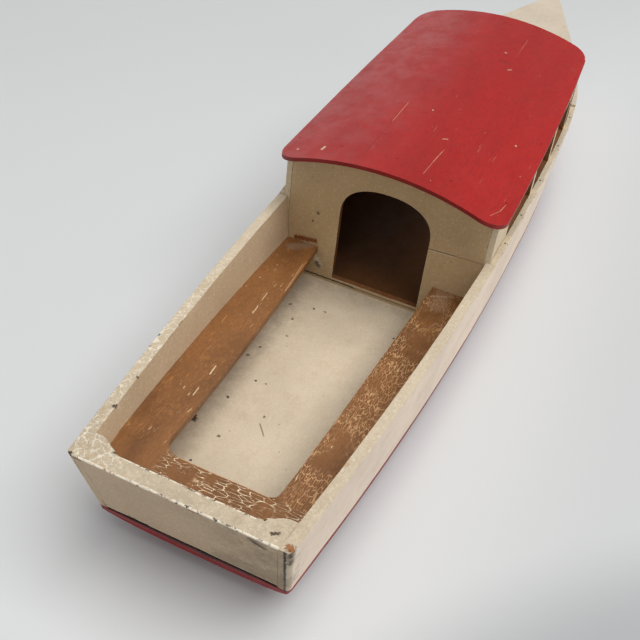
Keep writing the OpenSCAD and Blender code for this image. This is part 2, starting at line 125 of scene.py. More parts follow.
class Graph:
    """One material and short calls that add nodes to it."""

    def __init__(self, name):
        self.material = bpy.data.materials.new(name)
        self.material.use_nodes = True
        self.tree = self.material.node_tree
        self.shader = self.tree.nodes["Principled BSDF"]
        place = self.tree.nodes.new("ShaderNodeTexCoord").outputs["Object"]
        self.point = self.vector("SCALE", place, scale=1 / MM)
        split = self.tree.nodes.new("ShaderNodeSeparateXYZ")
        self.link(self.point, split.inputs[0])
        self.x, self.y, self.z = split.outputs
        geometry = self.tree.nodes.new("ShaderNodeNewGeometry")
        facing = self.tree.nodes.new("ShaderNodeSeparateXYZ")
        self.link(geometry.outputs["Normal"], facing.inputs[0])
        self.nx, self.ny, self.nz = facing.outputs

    def link(self, a, socket):
        self.tree.links.new(a, socket)

    def put(self, value, socket):
        """Sets a socket to a number, a colour, a vector or another node's output."""
        if isinstance(value, bpy.types.NodeSocket):
            self.link(value, socket)
        elif isinstance(value, (tuple, list)) and socket.type == "RGBA":
            socket.default_value = (*value, 1)
        else:
            socket.default_value = value

    def vector(self, op, a, b=None, scale=None):
        n = self.tree.nodes.new("ShaderNodeVectorMath")
        n.operation = op
        self.put(a, n.inputs[0])
        if b is not None:
            self.put(b, n.inputs[1])
        if scale is not None:
            self.put(scale, n.inputs["Scale"])
        return n.outputs["Value" if op == "DISTANCE" else "Vector"]

    def math(self, op, a, b=0.0, clamp=False):
        n = self.tree.nodes.new("ShaderNodeMath")
        n.operation, n.use_clamp = op, clamp
        self.put(a, n.inputs[0])
        self.put(b, n.inputs[1])
        return n.outputs[0]

    def noise(self, size, detail=3.0, rough=0.5, warp=0.0, stretch=(1, 1, 1), seed=(0, 0, 0)):
        """Fractal noise whose blobs are about `size` mm across."""
        n = self.tree.nodes.new("ShaderNodeTexNoise")
        self.put(self.moved(stretch, seed), n.inputs["Vector"])
        n.inputs["Scale"].default_value = 1 / size
        n.inputs["Detail"].default_value = detail
        n.inputs["Roughness"].default_value = rough
        n.inputs["Distortion"].default_value = warp
        return n.outputs["Fac"]

    def moved(self, stretch, seed, wobble=0.0, wobble_size=4.0):
        """The point with its axes stretched, moved by a seed and shaken by up to `wobble`."""
        v = self.vector("MULTIPLY", self.point, tuple(1 / s for s in stretch))
        v = self.vector("ADD", v, seed)
        if wobble:
            n = self.tree.nodes.new("ShaderNodeTexNoise")
            self.link(v, n.inputs["Vector"])
            n.inputs["Scale"].default_value = 1 / wobble_size
            n.inputs["Detail"].default_value = 3
            v = self.vector("ADD", v, self.vector("SCALE", n.outputs["Color"], scale=wobble))
        return v

    def cells(self, size, feature="DISTANCE_TO_EDGE", stretch=(1, 1, 1), seed=(0, 0, 0), wobble=0.0):
        """Cells about `size` mm across: the distance to the border in mm, or the texture's outputs."""
        n = self.tree.nodes.new("ShaderNodeTexVoronoi")
        n.feature = feature
        self.put(self.moved(stretch, seed, wobble, size), n.inputs["Vector"])
        n.inputs["Scale"].default_value = 1 / size
        if feature == "DISTANCE_TO_EDGE":
            return self.math("MULTIPLY", n.outputs["Distance"], size)
        return n.outputs

    def step(self, value, low, high, to_low=0.0, to_high=1.0):
        """A smooth step of value, from low to high. It falls where low is above high."""
        n = self.tree.nodes.new("ShaderNodeMapRange")
        n.interpolation_type = "SMOOTHSTEP"
        self.put(value, n.inputs["Value"])
        if low > high:
            low, high, to_low, to_high = high, low, to_high, to_low
        for name, v in (("From Min", low), ("From Max", high), ("To Min", to_low), ("To Max", to_high)):
            n.inputs[name].default_value = v
        return n.outputs["Result"]

    def mix(self, amount, a, b):
        """The colour a where amount is 0, and b where it is 1."""
        n = self.tree.nodes.new("ShaderNodeMix")
        n.data_type = "RGBA"
        self.put(amount, n.inputs[0])
        self.put(a, n.inputs[6])
        self.put(b, n.inputs[7])
        return n.outputs[2]

    def number_of(self, colour):
        """The red of a cell's random colour, as the cell's own number from 0 to 1."""
        n = self.tree.nodes.new("ShaderNodeSeparateColor")
        self.link(colour, n.inputs[0])
        return n.outputs[0]

    def both(self, *masks):
        """The product of the masks."""
        out = masks[0]
        for m in masks[1:]:
            out = self.math("MULTIPLY", out, m)
        return out

    def either(self, *masks):
        """The greatest of the masks."""
        out = masks[0]
        for m in masks[1:]:
            out = self.math("MAXIMUM", out, m)
        return out

    def mark(self, a, b=None, width=1.0, rag=3.0):
        """1 near the point a, or near the line from a to b; mm."""
        n = self.tree.nodes.new("ShaderNodeGroup")
        n.node_tree = MARK
        self.link(self.point, n.inputs["Point"])
        n.inputs["A"].default_value = a
        n.inputs["B"].default_value = b or a
        n.inputs["Width"].default_value = width
        n.inputs["Rag"].default_value = rag
        return n.outputs["Mask"]

    def finish(self, colour, roughness, height, strength=0.5, depth=0.2, coat=0.0):
        """Connects the colour, the roughness and a height in steps of `depth` mm."""
        self.put(colour, self.shader.inputs["Base Color"])
        self.put(roughness, self.shader.inputs["Roughness"])
        self.shader.inputs["Coat Weight"].default_value = coat
        n = self.tree.nodes.new("ShaderNodeBump")
        n.inputs["Strength"].default_value = strength
        n.inputs["Distance"].default_value = depth * MM
        self.put(height, n.inputs["Height"])
        self.link(n.outputs["Normal"], self.shader.inputs["Normal"])
        return self.material


def srgb(r, g, b):
    """A colour given as 0-255 display values, as the linear numbers shaders take."""
    return tuple(((c / 255 + 0.055) / 1.055) ** 2.4 for c in (r, g, b))


CREAM = srgb(212, 193, 162)
CREAM_PALE = srgb(232, 220, 198)
TAN = srgb(186, 160, 124)
GRIME = srgb(112, 96, 74)
WOOD_DARK = srgb(58, 38, 26)
WOOD_RAW = srgb(150, 94, 50)
WOOD_SILL = srgb(138, 88, 46)
BLACK = srgb(20, 17, 15)
RED = srgb(160, 17, 11)
RED_DULL = srgb(160, 36, 26)
RED_DARK = srgb(104, 12, 12)
BROWN = srgb(138, 91, 49)
BROWN_DARK = srgb(108, 69, 35)
BROWN_WARM = srgb(184, 124, 66)
BROWN_PALE = srgb(226, 198, 160)
INNER = srgb(110, 68, 30)


def scaled(colour, factor):
    return tuple(c * factor for c in colour)


def add_marks(g, colour, height, marks, depth):
    """Paints the listed marks: start, end, half width in mm, paint, strength."""
    for a, b, width, paint, strength in marks:
        ragged = 1.6 if width < 0.6 else 4.0
        amount = g.math("MULTIPLY", g.mark(a, b, width, ragged), strength)
        colour = g.mix(amount, colour, paint)
        height = g.math("SUBTRACT", height, g.math("MULTIPLY", amount, depth))
    return colour, height


def cream(name, crackle=None, marks=(), grime_and_shade=None, rough=0.5, tint=CREAM, grit=0.5):
    """Old cream oil paint. The crackle function says how crazed it is; the grime function says where it
    darkens towards GRIME, which is dirt, and on the cockpit floor also painted shade.
    """
    g = Graph(name)
    colour = g.mix(g.step(g.noise(38, 4, 0.6), 0.3, 0.7), tint, scaled(tint, 0.88))
    blotch = g.step(g.noise(11, 6, 0.7, seed=(3, 7, 1)), 0.45, 0.75)
    colour = g.mix(g.math("MULTIPLY", blotch, 0.35), colour, TAN)
    pits = g.step(g.noise(1.2, 5, 0.78, seed=(7, 7, 1)), 0.44, 0.68)
    colour = g.mix(g.math("MULTIPLY", pits, grit), colour, scaled(tint, 0.62))
    flakes = g.step(g.noise(1.5, 5, 0.8, seed=(2, 5, 9)), 0.52, 0.66)
    colour = g.mix(g.math("MULTIPLY", flakes, grit), colour, CREAM_PALE)
    smear = g.step(g.noise(5, 6, 0.75, 0.8, (1.6, 1.6, 0.8), (4, 2, 6)), 0.58, 0.8)
    colour = g.mix(g.math("MULTIPLY", smear, 0.3), colour, GRIME)
    height = g.math("MULTIPLY", g.noise(1.6, 5, 0.7), 1.4)
    height = g.math("ADD", height, g.math("MULTIPLY", g.noise(16, 2), 1.2))
    if crackle:
        where = crackle(g)
        thin = g.math("MULTIPLY", g.math("SUBTRACT", g.noise(2.5, 4, 0.7, seed=(6, 6, 2)), 0.5), 1.6)
        edge = g.math("ADD", g.cells(4.2, wobble=3.4), thin)
        fine = g.math("ADD", g.cells(1.7, seed=(5, 1, 2), wobble=1.8), g.math("MULTIPLY", thin, 0.3))
        gap = g.step(edge, 0.42, 0.1)
        hair = g.math("MULTIPLY", g.step(fine, 0.2, 0.04), 0.45)
        island = g.both(g.step(edge, 0.3, 1.1), g.step(g.noise(2.4, 4, 0.65, seed=(1, 1, 5)), 0.3, 0.6))
        colour = g.mix(g.both(where, island, 0.75), colour, srgb(190, 164, 128))
        line = g.both(where, g.either(gap, hair))
        colour = g.mix(g.math("MULTIPLY", line, 0.9), colour, CREAM_PALE)
        height = g.math("SUBTRACT", height, g.math("MULTIPLY", line, 2.6))
    # darkening towards GRIME where the grime function says: dirt, and on the cockpit floor also painted
    # shade
    if grime_and_shade:
        cloud = g.step(g.noise(6, 6, 0.75, 0.4), 0.3, 0.7)
        colour = g.mix(g.both(grime_and_shade(g), cloud), colour, GRIME)
    specks = g.cells(6, "F1", seed=(9, 4, 4), wobble=1.5)
    dot = g.both(g.step(specks["Distance"], 0.085, 0.03), g.step(g.number_of(specks["Color"]), 0.84, 0.86))
    colour = g.mix(g.math("MULTIPLY", dot, 0.65), colour, WOOD_DARK)
    colour, height = add_marks(g, colour, height, marks, 1.5)
    roughness = g.step(g.noise(12, 4, 0.6, seed=(2, 2, 8)), 0.3, 0.7, rough, rough + 0.16)
    g.shader.inputs["Specular IOR Level"].default_value = 0.35
    return g.finish(colour, roughness, height, 0.8, 0.18)


def worn_edge(name, paint, chip, dark, chipped=0.3, sooty=0.4):
    """A rubbed arris: the paint, chipped down to another colour, with dark dirt in places."""
    g = Graph(name)
    pits = g.step(g.noise(1.3, 5, 0.7), 0.4, 0.7)
    colour = g.mix(g.math("MULTIPLY", pits, 0.5), paint, scaled(paint, 0.72))
    where = g.step(g.noise(17, 3, 0.6, seed=(3, 3, 1)), 0.62 - 0.3 * chipped, 0.7 - 0.3 * chipped)
    chips = g.both(where, g.step(g.noise(2.1, 4, 0.7, 0.5, seed=(8, 1, 1)), 0.48, 0.54))
    colour = g.mix(g.math("MULTIPLY", chips, 0.85), colour, chip)
    dirty = g.step(g.noise(26, 2, seed=(1, 9, 9)), 0.66 - 0.3 * sooty, 0.74 - 0.3 * sooty)
    soot = g.both(dirty, g.step(g.noise(2.6, 4, 0.7, seed=(5, 5, 9)), 0.54, 0.6))
    colour = g.mix(g.math("MULTIPLY", soot, 0.9), colour, dark)
    height = g.math("SUBTRACT", g.noise(1.1, 4, 0.7), g.math("MULTIPLY", g.either(chips, soot), 1.5))
    g.shader.inputs["Specular IOR Level"].default_value = 0.35
    return g.finish(colour, 0.6, height, 0.7, 0.18)


def red(name, marks=(), sheen=0.34, tint=RED):
    """Satin red paint, worn dull in long patches."""
    g = Graph(name)
    patch = g.step(g.noise(40, 5, 0.6, 0.3, (3, 1, 1)), 0.35, 0.68)
    colour = g.mix(patch, tint, scaled(tint, 0.84))
    dull = g.step(g.noise(20, 6, 0.65, 0.5, (4, 1, 1), (6, 3, 1)), 0.42, 0.72)
    colour = g.mix(g.math("MULTIPLY", dull, 0.35), colour, RED_DULL)
    fine = g.step(g.noise(1.5, 5, 0.75, 0, (4, 1, 1)), 0.42, 0.72)
    colour = g.mix(g.math("MULTIPLY", fine, 0.4), colour, RED_DARK)
    stain = g.step(g.noise(12, 5, 0.75, 0.6, seed=(9, 2, 2)), 0.6, 0.74)
    colour = g.mix(g.math("MULTIPLY", stain, 0.35), colour, RED_DARK)
    hairs = g.both(
        g.step(g.noise(0.7, 2, 0.5, 0.2, (26, 1, 1), (3, 8, 2)), 0.68, 0.74),
        g.step(g.noise(30, 3, 0.6, seed=(4, 9, 2)), 0.5, 0.6),
    )
    colour = g.mix(g.math("MULTIPLY", hairs, 0.18), colour, BROWN_PALE)
    specks = g.cells(7, "F1", seed=(1, 4, 9), wobble=2)
    dot = g.both(g.step(specks["Distance"], 0.06, 0.03), g.step(g.number_of(specks["Color"]), 0.82, 0.86))
    colour = g.mix(g.math("MULTIPLY", dot, 0.6), colour, CREAM)
    fine_relief = g.noise(1.6, 5, 0.65)
    waves = g.math("MULTIPLY", g.noise(34, 2, stretch=(2, 1, 1)), 3.0)
    height = g.math("ADD", fine_relief, waves)
    colour, height = add_marks(g, colour, height, marks, 1.2)
    g.shader.inputs["Specular IOR Level"].default_value = 0.34
    roughness = g.step(g.noise(14, 6, 0.65, seed=(2, 7, 8)), 0.3, 0.7, sheen, sheen + 0.16)
    return g.finish(colour, roughness, height, 0.45, 0.12)


def brown(name, crackle=None, marks=(), tint=BROWN, dark=BROWN_DARK, streaks=0.8):
    """Ochre-brown paint brushed along the boards, crazed and scratched to the pale coat below."""
    g = Graph(name)
    colour = g.mix(g.step(g.noise(26, 5, 0.6, 0.4, (3, 1, 1)), 0.35, 0.7), tint, dark)
    warm = g.step(g.noise(5, 6, 0.72, 0.5, (3, 1, 1), (4, 4, 4)), 0.45, 0.75)
    colour = g.mix(g.math("MULTIPLY", warm, 0.2), colour, scaled(tint, 1.3))
    grain = g.step(g.noise(0.9, 5, 0.78, 0.3, (3, 1, 1), (1, 4, 7)), 0.42, 0.66)
    colour = g.mix(g.math("MULTIPLY", grain, 0.45), colour, scaled(dark, 0.75))
    height = g.math("ADD", g.noise(1.2, 5, 0.7, 0, (3, 1, 1)), g.math("MULTIPLY", g.noise(12, 2), 1.2))
    brushed = g.both(
        g.step(g.noise(0.7, 3, 0.6, 0.3, (9, 1, 1), (8, 1, 1)), 0.58, 0.66),
        g.step(g.noise(16, 3, 0.6, seed=(5, 9, 2)), 0.42, 0.6),
    )
    colour = g.mix(g.math("MULTIPLY", brushed, streaks * 0.7), colour, BROWN_WARM)
    scratch = g.both(
        g.step(g.noise(0.8, 2, 0.5, 0.4, (9, 1, 1), (2, 6, 3)), 0.66, 0.71),
        g.step(g.noise(13, 3, 0.6, seed=(9, 3, 6)), 0.5, 0.6),
    )
    colour = g.mix(g.math("MULTIPLY", scratch, streaks), colour, BROWN_PALE)
    if crackle:
        where, stretch, crack_paint, size, width = crackle(g)
        edge = g.cells(size, stretch=stretch, wobble=size * 0.6, seed=(3, 3, 3))
        broken = g.step(g.noise(3.4, 4, 0.75, seed=(1, 8, 3)), 0.38, 0.5)
        line = g.both(g.step(edge, width, width * 0.2), broken, where)
        colour = g.mix(line, colour, crack_paint)
        height = g.math("SUBTRACT", height, g.math("MULTIPLY", line, 2.0))
    colour, height = add_marks(g, colour, height, marks, 0.8)
    roughness = g.step(g.noise(9, 4, 0.6, seed=(2, 2, 8)), 0.3, 0.7, 0.4, 0.58)
    g.shader.inputs["Specular IOR Level"].default_value = 0.4
    return g.finish(colour, roughness, height, 0.6, 0.15)


def steel(name):
    """Dull steel with specks of rust, for pin heads."""
    g = Graph(name)
    rust = g.step(g.noise(0.6, 4, 0.7), 0.4, 0.6)
    g.shader.inputs["Metallic"].default_value = 0.6
    colour = g.mix(rust, srgb(96, 84, 72), srgb(70, 40, 26))
    roughness = g.step(rust, 0, 1, 0.45, 0.75)
    return g.finish(colour, roughness, rust, 0.3, 0.05)


# ---- where each board is worn ----

# Each row: start, end (None for a spot), half width, paint, strength. Points and widths are in mm, in the
# boat's frame. These lists follow no rule. About 60 of the 140 points are spots on the photo, picked by eye,
# which a scratch script turned into the boat's frame, and some stand as it printed them.
# The others were set one by one.
RIM_MARKS = [
    ((-296, 53, 72), None, 1.1, WOOD_DARK, 0.9),
    ((-275, 54.8, 72), None, 0.9, WOOD_DARK, 0.8),
    ((-243.5, 56.2, 72), (-240, 56.6, 72), 0.9, BLACK, 0.9),
    ((-232, 57.6, 72.4), (-229, 57.8, 72.4), 0.8, BLACK, 0.8),
    ((-303.8, 58.4, 72), None, 1.2, WOOD_RAW, 0.8),
    ((-244, 62.7, 72.3), None, 0.9, WOOD_DARK, 0.7),
    ((-253.6, 62.4, 72.3), None, 1.0, WOOD_RAW, 0.7),
    ((-329.6, 53.6, 71.6), (-328.6, 54.6, 70), 1.3, BLACK, 0.9),
    ((-329.6, 51.5, 70.4), (-329.8, 48, 70.8), 0.7, BLACK, 0.7),
    ((-328.4, 52.8, 66), (-325, 51.8, 54), 0.7, srgb(150, 104, 66), 0.6),
    ((-323, -45.6, 72), (-324.5, -43.5, 72), 0.9, WOOD_DARK, 0.9),
    ((-327, -53, 72), (-328, -55, 72), 1.8, WOOD_RAW, 0.95),
    ((-331, -52.4, 71.6), (-330, -55, 71), 1.1, BLACK, 0.95),
    ((-331, -12, 71.5), (-330.5, -7.5, 71), 1.5, WOOD_RAW, 0.95),
    ((-330, -33, 71.8), (-330.5, -47, 71.8), 0.7, WOOD_RAW, 0.8),
    ((-329, -36, 69), (-328, -42, 66), 1.6, GRIME, 0.8),
    ((-328.6, -37, 68), (-328.2, -40.5, 66), 0.8, BLACK, 0.7),
    ((-327, 24, 52), (-326, 18, 48), 1.0, GRIME, 0.5),
    ((-319, -20, 31), (-320, -50, 36), 6.5, srgb(128, 110, 88), 0.45),
    ((-324, -36, 52), (-326, -50, 58), 4.5, srgb(140, 122, 100), 0.3),
    ((-328, -54.2, 69), (-325.6, -53.8, 60), 2.4, GRIME, 0.7),
    ((-328.7, -53.8, 71), (-327.6, -54.4, 67), 1.0, BLACK, 0.8),
    ((-326.2, -53.7, 63), (-325.4, -53.5, 58), 0.7, BLACK, 0.6),
    ((-275, -54.8, 72), None, 1.4, srgb(190, 128, 70), 0.5),
    ((-330.1, -52.1, 71.6), (-317.2, -49.2, 25), 0.6, BLACK, 0.95),
    ((-317.3, 26, 26.6), (-317.3, 23, 27.4), 0.8, WOOD_DARK, 0.8),
    ((-318, 33, 28.6), (-318, 29, 28), 0.6, GRIME, 0.8),
]
FLOOR_MARKS = [
    ((-246, 40.8, 24), (-244.5, 41.5, 24), 1.7, WOOD_DARK, 0.9),
    ((-221.7, 33.8, 23), None, 1.0, WOOD_DARK, 0.9),
    ((-185, 41.2, 22), None, 1.2, BLACK, 0.8),
    ((-175, 38.6, 22), None, 0.8, WOOD_DARK, 0.8),
    ((-250, 23.2, 24), None, 0.9, WOOD_DARK, 0.8),
    ((-225, 9.6, 23.5), None, 0.7, WOOD_DARK, 0.7),
    ((-201.4, 20.8, 22.7), None, 0.7, WOOD_DARK, 0.7),
    ((-128.7, 41.9, 21), None, 0.9, WOOD_DARK, 0.8),
    ((-124, 19.7, 21), None, 0.8, WOOD_RAW, 0.8),
    ((-141.3, 34.2, 21.3), None, 0.9, WOOD_DARK, 0.7),
    ((-157.5, 29.6, 21.6), None, 0.9, GRIME, 0.7),
    ((-238, 3, 23.8), (-231, 9, 23.8), 0.4, GRIME, 0.7),
]
KEEL_MARKS = [
    ((-316.7, 46, 25), (-316.7, 30, 24.9), 0.7, BLACK, 0.95),
    ((-316.7, 32, 24.8), (-316.6, 8, 24.2), 1.2, BLACK, 1.0),
    ((-316.6, 8, 24.2), (-316.6, -12, 24.2), 1.4, BLACK, 1.0),
    ((-316.6, -10, 24.3), (-316.7, -34, 24.7), 1.2, BLACK, 1.0),
    ((-316.7, -32, 24.8), (-316.9, -50, 25.2), 0.7, BLACK, 0.95),
    ((-316, 12, 21.6), (-316, 9, 21.4), 0.8, WOOD_DARK, 0.8),
    ((-316, -6, 21.4), (-316, -8, 21), 0.7, BLACK, 0.8),
]
BULKHEAD_MARKS = [
    ((-94, -29.6, 70.4), (-94, -46, 71.3), 0.3, GRIME, 0.9),
    ((-94, -29.6, 69.6), (-94, -46, 70.5), 0.3, CREAM_PALE, 0.4),
    ((-94, -46, 71.3), (-94, -64, 72), 0.35, srgb(150, 128, 100), 0.7),
    ((-94, 57, 46), (-94, 43.5, 48), 1.7, srgb(126, 66, 20), 0.95),
    ((-94, 42.4, 36.6), (-94, 39.6, 32), 2.1, CREAM_PALE, 0.6),
    ((-94, 41, 32), (-94, 39.6, 30), 1.4, BLACK, 0.75),
    ((-94, 43.7, 69), None, 1.0, WOOD_DARK, 0.7),
    ((-94, 46.5, 62), None, 0.8, WOOD_DARK, 0.7),
    ((-94, 28.4, 72.5), None, 0.8, WOOD_DARK, 0.6),
    ((-94, 14, 22.4), (-94, 58, 22.6), 0.6, BLACK, 0.85),
    ((-94, 14, 22.2), (-94, -34, 22.2), 0.5, GRIME, 0.8),
]
ROOF_MARKS = [
    ((-26, 18.3, 123), (-52, 18.4, 122), 0.14, BROWN_PALE, 0.5),
    ((-52, 18.4, 122), (-95, 18.5, 120), 0.22, RED_DARK, 0.7),
    ((-66, -20, 121), (-82, -19, 120.6), 0.16, BROWN_PALE, 0.6),
    ((-82, -19, 120.6), (-97, -18.4, 120), 0.14, BROWN_PALE, 0.35),
    ((-83, -66, 108.8), (-92, -65, 109), 0.15, BROWN_PALE, 0.45),
    ((-92, -65, 109), (-101, -61.6, 109.8), 0.14, BROWN_PALE, 0.35),
    ((108, -22.4, 128.5), (72, -22.6, 127), 0.14, BROWN_PALE, 0.3),
    ((-97.8, 59.4, 110.8), None, 0.9, BROWN_PALE, 0.6),
    ((-97, 44.4, 115.3), (-94, 44, 115.5), 0.8, CREAM, 0.8),
    ((-27.5, 1.2, 124), None, 0.7, CREAM, 0.5),
    ((-55.7, -15.5, 122), (-54, -18, 122), 0.4, CREAM, 0.5),
    ((-25.7, -54, 115.7), None, 0.6, CREAM, 0.6),
    ((77.3, -15, 128), None, 0.9, CREAM, 0.8),
    ((55, -23.3, 126), (57, -25, 126), 0.6, TAN, 0.7),
    ((64, -17, 127.5), None, 3.2, RED_DARK, 0.3),
]
BENCH_MARKS = [
    ((-160, 34.6, 48.7), (-114, 39.6, 45.8), 0.5, BROWN_WARM, 0.9),
    ((-150, 36.6, 48), (-118, 40.4, 46), 0.25, BROWN_PALE, 0.5),
    ((-238.6, 35.8, 53.7), (-231, 36.6, 53), 0.4, BROWN_PALE, 0.8),
    ((-257, 34.8, 55), (-251, 35.2, 54.6), 0.35, BROWN_PALE, 0.7),
    ((-180, 42.2, 50), (-172, 43, 49.5), 0.35, BROWN_PALE, 0.7),
    ((-197, 52.6, 51), (-190, 53.4, 50.6), 0.35, BROWN_WARM, 0.7),
    ((-166, 43.8, 49), (-158, 44.5, 48.6), 0.3, BROWN_PALE, 0.6),
    ((-104, 55, 45.4), (-96, 47, 45), 3.5, srgb(150, 132, 112), 0.45),
    ((-112, -47, 45.8), (-97, -45, 45), 5.5, srgb(160, 128, 98), 0.5),
    ((-104, -40, 45.2), (-98, -51, 45), 0.9, srgb(176, 150, 118), 0.6),
]


def rim_craze(g):
    """Crazing on upward faces: bold at the port quarter, faint and patchy along the boards."""
    up = g.step(g.nz, 0.6, 0.85)
    quarter = g.both(g.step(g.y, 20, 42), g.step(g.x, -262, -318))
    port = g.both(g.step(g.y, 30, 45), g.step(g.x, -110, -240), 0.7)
    along = g.step(g.noise(24, 3, 0.6, seed=(2, 5, 5)), 0.5, 0.7, 0.0, 0.4)
    return g.both(up, g.either(quarter, port, along))


def floor_dirt_and_shade(g):
    """Dirt and painted shade along both sides and both ends of the cockpit floor, by the benches and the
    bulkhead.
    """
    sides = g.step(g.math("ABSOLUTE", g.y), 20, 44)
    fore = g.step(g.x, -112, -95)
    aft = g.step(g.x, -284, -298)
    return g.math("MULTIPLY", g.either(sides, fore, aft), 0.32)


def stern_dirt(g):
    """Dirt that thickens towards starboard."""
    return g.step(g.y, 12, -48, 0.0, 0.62)


def rim_dirt(g):
    """Dirt on the upward faces, more of it towards the stern."""
    return g.both(g.step(g.nz, 0.5, 0.8), g.step(g.x, -262, -325), 0.3)


# The three below give where a bench is crazed, the cells' stretch, the paint in the cracks, the cells' size
# and the cracks' width.


def aft_craze(g):
    """Bold across the middle of the aft bench, fading towards port."""
    middle = g.both(g.step(g.y, 27, 19), g.step(g.noise(12, 3, seed=(1, 6, 1)), 0.36, 0.5))
    return middle, (0.7, 2.4, 1), srgb(232, 208, 172), 2.6, 0.19


def port_craze(g):
    """Faint crazing in patches, drawn out along the bench."""
    where = g.step(g.noise(20, 2), 0.45, 0.62)
    return g.math("MULTIPLY", where, 0.28), (3.6, 0.8, 1), BROWN_WARM, 1.8, 0.2


def starboard_craze(g):
    """Patches of fine crazing, drawn out along the bench."""
    return g.step(g.noise(18, 2), 0.36, 0.56), (3.4, 0.8, 1), srgb(198, 152, 106), 1.5, 0.17


CREAM_RIM = cream("cream_rim", rim_craze, RIM_MARKS, rim_dirt, tint=srgb(203, 186, 160), grit=0.5)
# painted shade: the aft faces wear a darker copy of the cream, with dirt that thickens to starboard
CREAM_STERN_SHADED = cream("cream_stern_shaded", marks=RIM_MARKS, grime_and_shade=stern_dirt, tint=srgb(192, 167, 137), grit=0.35)
# painted shade: the planks' inward faces wear a darker copy of the cream
CREAM_INNER_SHADED = cream("cream_inner_shaded", marks=RIM_MARKS, tint=srgb(200, 174, 142), grit=0.4)
# painted light: the planks' outer faces wear a paler copy of the cream
CREAM_SIDE_LIT = cream("cream_side_lit", marks=RIM_MARKS, tint=srgb(231, 212, 193), grit=0.25)
CREAM_DECK = cream("cream_deck", tint=srgb(202, 188, 168), grit=0.3)
CREAM_PLAIN = cream("cream_plain")
# painted shade: the aft bulkhead's cream is darkened
CREAM_BULKHEAD_SHADED = cream("cream_bulkhead_shaded", marks=BULKHEAD_MARKS, tint=srgb(192, 164, 123), grit=0.3)
CREAM_FLOOR = cream("cream_floor", marks=FLOOR_MARKS, grime_and_shade=floor_dirt_and_shade, tint=srgb(216, 198, 172), grit=0.3)
RED_ROOF = red("red_roof", ROOF_MARKS)
# painted shade: the roof's upright edge faces wear a darker copy of the red
RED_SIDE_SHADED = red("red_side_shaded", tint=srgb(122, 10, 11), sheen=0.4)
RED_BOTTOM = red("red_bottom", KEEL_MARKS, tint=srgb(136, 15, 18), sheen=0.45)
BROWN_PORT = brown("brown_port", port_craze, BENCH_MARKS)
# painted shade: the starboard bench wears a darker copy of the brown
BROWN_STARBOARD_SHADED = brown("brown_starboard_shaded", starboard_craze, BENCH_MARKS, tint=srgb(132, 87, 47))
BROWN_AFT = brown("brown_aft", aft_craze, streaks=0.1)
BROWN_LEDGER = brown("brown_ledger")
BROWN_INNER = brown("brown_inner", tint=INNER, dark=scaled(INNER, 0.7), streaks=0.1)
BROWN_SILL = brown("brown_sill", tint=WOOD_SILL, dark=scaled(WOOD_SILL, 0.6), streaks=0.6)
STEEL = steel("pin_steel")
CREAM_EDGE = worn_edge("cream_edge", CREAM_PALE, WOOD_RAW, BLACK, 0.35, 0.7)
# the roof's arris: a paler red that is partly wear, chipped to cream, and partly a painted highlight
RED_EDGE_WEAR_AND_HIGHLIGHT = worn_edge("red_edge_wear_and_highlight", srgb(182, 64, 54), CREAM, RED_DARK, 0.5, 0.6)
BROWN_EDGE = worn_edge("brown_edge", srgb(172, 118, 66), srgb(214, 160, 102), BROWN_DARK, 0.6, 0.3)
INNER_EDGE = worn_edge("inner_edge", INNER, WOOD_SILL, BLACK, 0.4, 0.3)


# ---- tests that pick a board's faces by their middle and their normal ----

BULKHEAD_T = 4 * MM
BOARD_END = 2 * MM  # the end faces of the cabin's sides lie within this of the bulkheads' outer faces
DOORWAY = (31 * MM, 23.5 * MM, 98 * MM)  # half width, sill and top, each just outside the real opening


def faces_aft(centre, normal):
    return normal.x < -0.5


def faces_inward(centre, normal):
    return normal.y * centre.y < 0 and abs(normal.y) > 0.5


def in_cabin(centre, normal):
    """The inward faces between the two bulkheads."""
    return door_x + BULKHEAD_T < centre.x < cabin_fore and faces_inward(centre, normal)


def faces_fore(centre, normal):
    return normal.x > 0.5


def door_jamb(centre, normal):
    """The faces inside the doorway: the jambs, the arch and the sill."""
    half, low, high = DOORWAY
    return abs(normal.x) < 0.3 and abs(centre.y) < half and low < centre.z < high


def not_outward(centre, normal):
    """The inner face, the sills and the posts' sides, but not the ends of the board."""
    between = door_x + BOARD_END < centre.x < cabin_fore - BOARD_END
    return between and (normal.y * centre.y <= 0 or abs(normal.y) < 0.5)


def faces_out(centre, normal):
    return normal.y * centre.y > 0 and abs(normal.y) > 0.5


def faces_down(centre, normal):
    return normal.z < -0.3


def faces_level(centre, normal):
    return abs(normal.z) < 0.35


# ---- which paint each board wears ----

CREAM_COAT = ("cream_paint", CREAM_EDGE)
BROWN_COAT = ("brown_paint", BROWN_EDGE)
# the planks' faces by the way they face: the darker inward and aft copies of the cream are painted shade,
# the paler outward copy is painted light
PLANK_FACES = (
    (CREAM_INNER_SHADED, faces_inward),
    (BROWN_INNER, in_cabin),
    (CREAM_STERN_SHADED, faces_aft),
    (CREAM_SIDE_LIT, faces_out),
)
